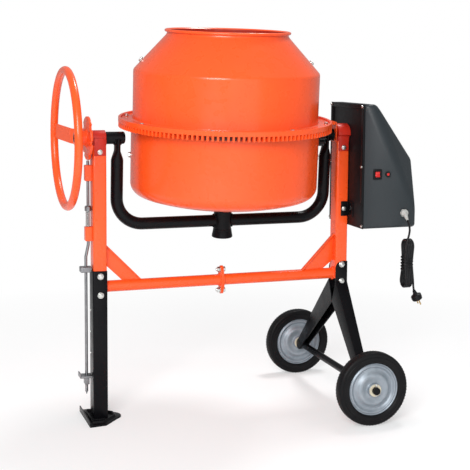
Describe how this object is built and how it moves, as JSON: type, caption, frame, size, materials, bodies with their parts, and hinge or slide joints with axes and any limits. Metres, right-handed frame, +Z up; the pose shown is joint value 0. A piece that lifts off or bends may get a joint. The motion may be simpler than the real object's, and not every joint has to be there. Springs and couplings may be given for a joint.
{
  "type": "concrete mixer",
  "caption": "Tilting-drum concrete mixer on a wheeled stand, with a handwheel and locking disc on one side and a belt-driven pinion and ring gear on the other.",
  "frame": {"origin": "on the floor, under the middle of the machine's box", "axes": "+Z up, +X from the handwheel towards the motor housing, -Y towards the operator's side, where the switch is"},
  "size_m": [1.2129, 0.738, 1.3176],
  "materials": {
    "orange_paint": "glossy orange powder coat",
    "red_paint": "duller red-orange primer coat",
    "black_paint": "glossy black powder coat",
    "zinc": "bright zinc plate",
    "bare_steel": "dull bare steel",
    "cast_iron": "machined cast iron",
    "galvanised": "galvanised pressed sheet",
    "tyre_rubber": "solid black rubber",
    "belt_rubber": "ribbed black belt rubber",
    "slate_plastic": "slate grey moulded plastic with a fine grain",
    "black_plastic": "black moulded plastic",
    "red_plastic": "red translucent plastic",
    "grey_plastic": "light grey nylon",
    "cord_jacket": "black rubber jacket"
  },
  "bodies": {
    "stand": {"left_post": "orange_paint", "left_leg": "black_paint", "foot_plate": "black_paint", "right_post": "orange_paint", "front_leg": "black_paint", "rear_leg": "black_paint", "stand_fasteners": "zinc", "crossbar_left": "orange_paint", "crossbar_right": "orange_paint", "left_brace": "orange_paint", "right_brace": "orange_paint", "axle": "black_paint", "left_pivot_bracket": "red_paint", "right_pivot_bracket": "red_paint", "housing_bracket": "black_paint", "lock_spring": "zinc", "lock_guides": "orange_paint", "drive_belt": "belt_rubber", "motor": "black_paint", "motor_bracket": "black_paint", "housing_back": "slate_plastic", "housing_cover": "slate_plastic", "housing_screws": "zinc", "switch_frame": "black_plastic", "cable_gland": "grey_plastic", "power_cord": "cord_jacket", "cord_hank": "cord_jacket", "power_plug": "black_plastic"},
    "tilt_frame": {"left_trunnion": "black_paint", "right_trunnion": "black_paint", "left_yoke_arm": "black_paint", "right_yoke_arm": "black_paint", "yoke_hub": "black_paint", "hub_bearings": "zinc", "hub_cap": "black_paint", "handwheel_rim": "orange_paint", "handwheel_strap": "orange_paint", "handwheel_nut": "zinc", "locking_disc": "orange_paint", "pinion_guard": "orange_paint"},
    "drum": {"drum_pan": "orange_paint", "drum_cone": "orange_paint", "ring_gear": "orange_paint", "ring_bolts": "zinc", "mixing_blades": "red_paint", "blade_bolts": "zinc", "spindle": "red_paint"},
    "drive": {"pinion": "cast_iron", "drive_shaft": "zinc", "drive_pulley": "cast_iron"},
    "motor_rotor": {"motor_pulley": "cast_iron"},
    "front_wheel": {"front_wheel_disc": "galvanised", "front_tyre": "tyre_rubber"},
    "rear_wheel": {"rear_wheel_disc": "galvanised", "rear_tyre": "tyre_rubber"},
    "lock": {"lock_rod": "bare_steel", "lock_pedal": "bare_steel"},
    "rocker": {"switch_rocker": "red_plastic"},
    "button": {"reset_button": "black_plastic"}
  },
  "joints": [
    {"name": "tilt", "type": "hinge", "parent": "stand", "child": "tilt_frame", "pos_m": [0, 0, 0.946], "axis": [1, 0, 0], "range_deg": [-125, 125]},
    {"name": "drum_spin", "type": "hinge", "parent": "tilt_frame", "child": "drum", "pos_m": [-0.05, 0, 0.946], "axis": [0, -0.0698, 0.9976], "continuous": true},
    {"name": "drive_spin", "type": "hinge", "parent": "tilt_frame", "child": "drive", "pos_m": [0, 0, 0.946], "axis": [1, 0, 0], "continuous": true},
    {"name": "motor_spin", "type": "hinge", "parent": "stand", "child": "motor_rotor", "pos_m": [0.422, -0.01, 0.706], "axis": [1, 0, 0], "continuous": true},
    {"name": "front_wheel_spin", "type": "hinge", "parent": "stand", "child": "front_wheel", "pos_m": [0.3595, -0.3275, 0.124], "axis": [0, 1, 0], "continuous": true},
    {"name": "rear_wheel_spin", "type": "hinge", "parent": "stand", "child": "rear_wheel", "pos_m": [0.3595, 0.3275, 0.124], "axis": [0, 1, 0], "continuous": true},
    {"name": "lock_lift", "type": "slide", "parent": "stand", "child": "lock", "axis": [0, 0, 1], "range_m": [0, 0.01]},
    {"name": "switch_rock", "type": "hinge", "parent": "stand", "child": "rocker", "pos_m": [0.453, -0.148, 0.817], "axis": [1, 0, 0], "range_deg": [0, 12]},
    {"name": "reset_press", "type": "slide", "parent": "stand", "child": "button", "axis": [0, 1, 0], "range_m": [0, 0.003], "stiffness_N_per_m": 300}
  ],
  "couplings": [
    {"joint": "drive_spin", "follows": "drum_spin", "ratio": -10},
    {"joint": "motor_spin", "follows": "drum_spin", "ratio": -42.857}
  ]
}
